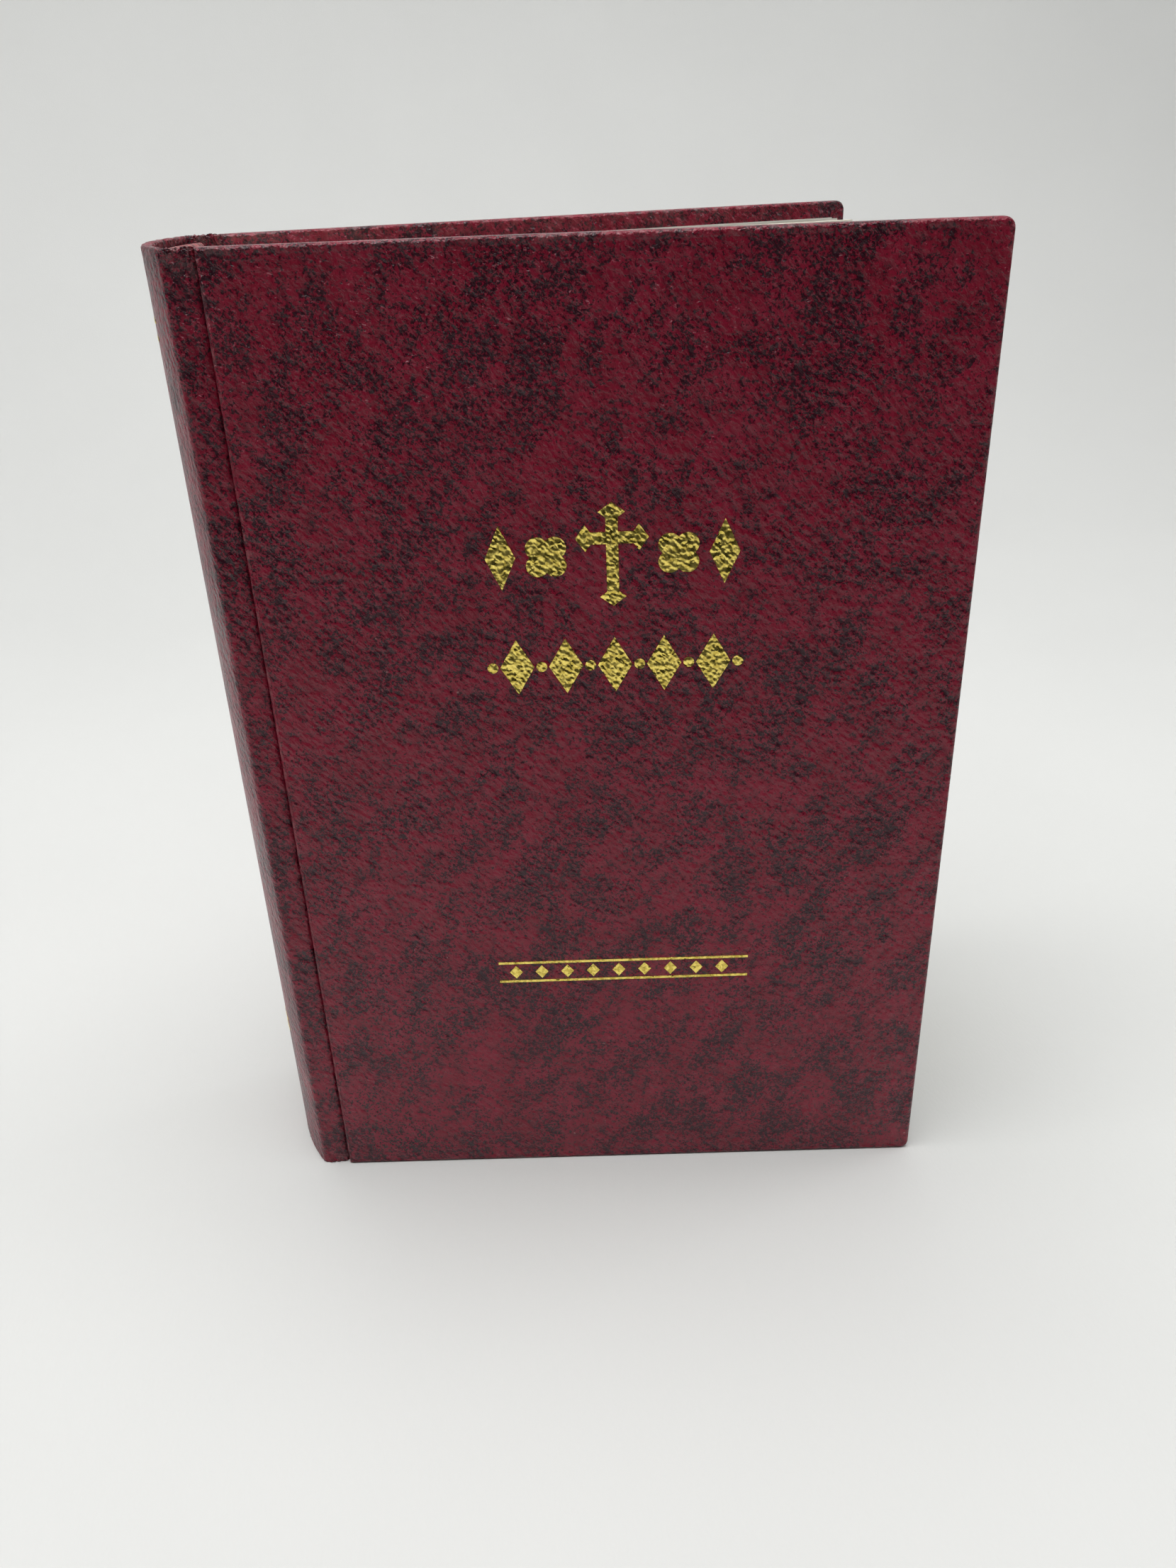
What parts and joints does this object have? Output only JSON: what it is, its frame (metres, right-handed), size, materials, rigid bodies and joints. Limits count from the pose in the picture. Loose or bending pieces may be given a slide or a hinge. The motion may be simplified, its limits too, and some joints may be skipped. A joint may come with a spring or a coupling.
{
  "type": "hardcover bible",
  "caption": "Thick case-bound book standing on its tail edges with both covers ajar: boards, rounded spine, joints, endpapers and sewn sections of leaves.",
  "frame": {"origin": "on the floor, in the middle of the bounding box of the book as it stands", "axes": "+X from the spine to the fore-edge, -Y out of the front cover, +Z from tail to head"},
  "size_m": [0.1536, 0.0902, 0.216],
  "materials": {
    "leatherette": "satin",
    "grey_board": "matte",
    "gold_foil": "polished",
    "endpaper": "matte",
    "leaf_paper": "matte",
    "kraft_paper": "matte",
    "mull": "matte",
    "band": "matte"
  },
  "bodies": {
    "text_block": {"spine_inlay": "grey_board", "spine_cloth": "leatherette", "spine_foil": "gold_foil", "front_joint_cloth": "leatherette", "back_joint_cloth": "leatherette", "front_endpaper_hinge": "endpaper", "back_endpaper_hinge": "endpaper", "mull": "mull", "spine_lining": "kraft_paper", "headband": "band", "tailband": "band", "sewing_thread": "mull", "front_folds": "leaf_paper", "back_folds": "leaf_paper", "section_07": "leaf_paper", "section_08": "leaf_paper", "section_09": "leaf_paper", "section_10": "leaf_paper", "section_11": "leaf_paper", "section_12": "leaf_paper", "section_13": "leaf_paper", "section_14": "leaf_paper", "section_15": "leaf_paper", "section_16": "leaf_paper", "section_17": "leaf_paper", "section_18": "leaf_paper", "section_19": "leaf_paper", "section_20": "leaf_paper", "section_21": "leaf_paper", "section_22": "leaf_paper", "section_23": "leaf_paper", "section_24": "leaf_paper", "section_25": "leaf_paper", "section_26": "leaf_paper"},
    "front_cover": {"front_board": "grey_board", "front_cover_cloth": "leatherette", "front_pastedown": "endpaper", "front_cross_foil": "gold_foil", "front_border_foil": "gold_foil"},
    "back_cover": {"back_board": "grey_board", "back_cover_cloth": "leatherette", "back_pastedown": "endpaper"},
    "front_flyleaf": {"front_flyleaf": "endpaper"},
    "back_flyleaf": {"back_flyleaf": "endpaper"},
    "front_leaves_1": {"section_01": "leaf_paper", "section_02": "leaf_paper"},
    "back_leaves_1": {"section_32": "leaf_paper", "section_31": "leaf_paper"},
    "front_leaves_2": {"section_03": "leaf_paper", "section_04": "leaf_paper"},
    "back_leaves_2": {"section_30": "leaf_paper", "section_29": "leaf_paper"},
    "front_leaves_3": {"section_05": "leaf_paper", "section_06": "leaf_paper"},
    "back_leaves_3": {"section_28": "leaf_paper", "section_27": "leaf_paper"}
  },
  "joints": [
    {"name": "front_cover_hinge", "type": "hinge", "parent": "text_block", "child": "front_cover", "pos_m": [-0.06798, -0.02075, 0], "axis": [0, 0, -1], "range_deg": [-9.2, 145.8], "deforming": ["front_joint_cloth", "front_endpaper_hinge"]},
    {"name": "front_flyleaf_turn", "type": "hinge", "parent": "text_block", "child": "front_flyleaf", "pos_m": [-0.05998, -0.01785, 0], "axis": [0, 0, -1], "range_deg": [-8.28, 131.22]},
    {"name": "front_leaves_1_turn", "type": "hinge", "parent": "text_block", "child": "front_leaves_1", "pos_m": [-0.05936, -0.01755, 0], "axis": [0, 0, -1], "range_deg": [-5.52, 87.48]},
    {"name": "front_leaves_2_turn", "type": "hinge", "parent": "text_block", "child": "front_leaves_2", "pos_m": [-0.05774, -0.01535, 0], "axis": [0, 0, -1], "range_deg": [-3.68, 58.32]},
    {"name": "front_leaves_3_turn", "type": "hinge", "parent": "text_block", "child": "front_leaves_3", "pos_m": [-0.05683, -0.01315, 0], "axis": [0, 0, -1], "range_deg": [-1.84, 29.16]},
    {"name": "back_cover_hinge", "type": "hinge", "parent": "text_block", "child": "back_cover", "pos_m": [-0.06798, 0.02075, 0], "axis": [0, 0, 1], "range_deg": [-9.2, 145.8], "deforming": ["back_joint_cloth", "back_endpaper_hinge"]},
    {"name": "back_flyleaf_turn", "type": "hinge", "parent": "text_block", "child": "back_flyleaf", "pos_m": [-0.05998, 0.01785, 0], "axis": [0, 0, 1], "range_deg": [-8.28, 131.22]},
    {"name": "back_leaves_1_turn", "type": "hinge", "parent": "text_block", "child": "back_leaves_1", "pos_m": [-0.05936, 0.01755, 0], "axis": [0, 0, 1], "range_deg": [-5.52, 87.48]},
    {"name": "back_leaves_2_turn", "type": "hinge", "parent": "text_block", "child": "back_leaves_2", "pos_m": [-0.05774, 0.01535, 0], "axis": [0, 0, 1], "range_deg": [-3.68, 58.32]},
    {"name": "back_leaves_3_turn", "type": "hinge", "parent": "text_block", "child": "back_leaves_3", "pos_m": [-0.05683, 0.01315, 0], "axis": [0, 0, 1], "range_deg": [-1.84, 29.16]}
  ],
  "couplings": [
    {"joint": "front_flyleaf_turn", "follows": "front_cover_hinge", "ratio": 0.9},
    {"joint": "front_leaves_1_turn", "follows": "front_cover_hinge", "ratio": 0.6},
    {"joint": "front_leaves_2_turn", "follows": "front_cover_hinge", "ratio": 0.4},
    {"joint": "front_leaves_3_turn", "follows": "front_cover_hinge", "ratio": 0.2},
    {"joint": "back_flyleaf_turn", "follows": "back_cover_hinge", "ratio": 0.9},
    {"joint": "back_leaves_1_turn", "follows": "back_cover_hinge", "ratio": 0.6},
    {"joint": "back_leaves_2_turn", "follows": "back_cover_hinge", "ratio": 0.4},
    {"joint": "back_leaves_3_turn", "follows": "back_cover_hinge", "ratio": 0.2}
  ]
}
